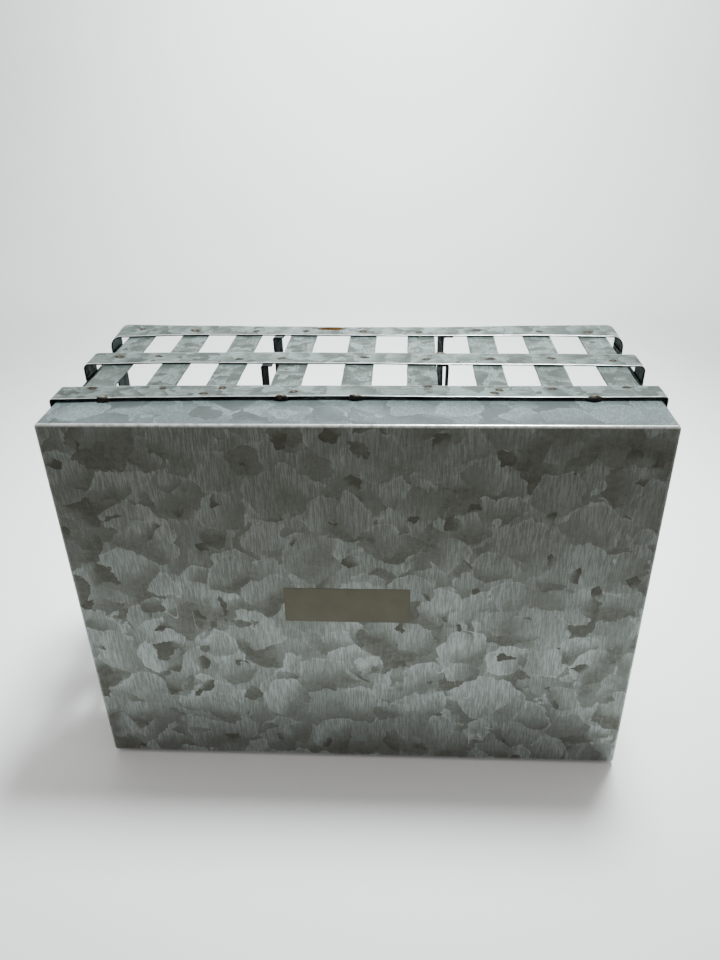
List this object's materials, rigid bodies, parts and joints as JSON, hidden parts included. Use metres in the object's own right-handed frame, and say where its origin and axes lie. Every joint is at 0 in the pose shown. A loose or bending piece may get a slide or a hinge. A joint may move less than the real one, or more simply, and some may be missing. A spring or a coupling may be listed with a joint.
{
  "type": "milk bottle crate",
  "caption": "Open slatted milk bottle crate of galvanised steel strip on a folded sheet pan, with hoops and crossed divider straps; lying on its long side.",
  "frame": {"origin": "centre of the object's bounding box seen from above, at the height of the surface it lies on", "axes": "the crate lies on its back long side: +X along its length, -Y is the underside of the pan, +Y is the open top, +Z is the front long side; a turn of +90 degrees about X stands it upright"},
  "size_m": [0.3476, 0.153, 0.2566],
  "materials": {
    "sheet_steel": "galvanised sheet with large grey-green spangle",
    "hoop_steel": "galvanised strip, pale mottled grey",
    "slat_steel": "galvanised strip, mottled grey",
    "divider_steel": "galvanised strip, darker grey",
    "label_paper": "satin olive-tan film label"
  },
  "bodies": {
    "root": {"base_pan": "sheet_steel", "band_lower": "hoop_steel", "band_middle": "hoop_steel", "band_upper": "hoop_steel", "front_slat_1": "slat_steel", "front_slat_2": "slat_steel", "front_slat_3": "slat_steel", "front_slat_4": "slat_steel", "front_slat_5": "slat_steel", "front_slat_6": "slat_steel", "front_slat_7": "slat_steel", "front_slat_8": "slat_steel", "front_slat_9": "slat_steel", "back_slat_1": "slat_steel", "back_slat_2": "slat_steel", "back_slat_3": "slat_steel", "back_slat_4": "slat_steel", "back_slat_5": "slat_steel", "back_slat_6": "slat_steel", "back_slat_7": "slat_steel", "back_slat_8": "slat_steel", "back_slat_9": "slat_steel", "left_slat_1": "slat_steel", "left_slat_2": "slat_steel", "left_slat_3": "slat_steel", "left_slat_4": "slat_steel", "left_slat_5": "slat_steel", "left_slat_6": "slat_steel", "right_slat_1": "slat_steel", "right_slat_2": "slat_steel", "right_slat_3": "slat_steel", "right_slat_4": "slat_steel", "right_slat_5": "slat_steel", "right_slat_6": "slat_steel", "cross_strap_left_lower": "divider_steel", "cross_strap_left_upper": "divider_steel", "cross_strap_right_lower": "divider_steel", "cross_strap_right_upper": "divider_steel", "long_strap_lower": "divider_steel", "long_strap_upper": "divider_steel"}
  },
  "joints": []
}
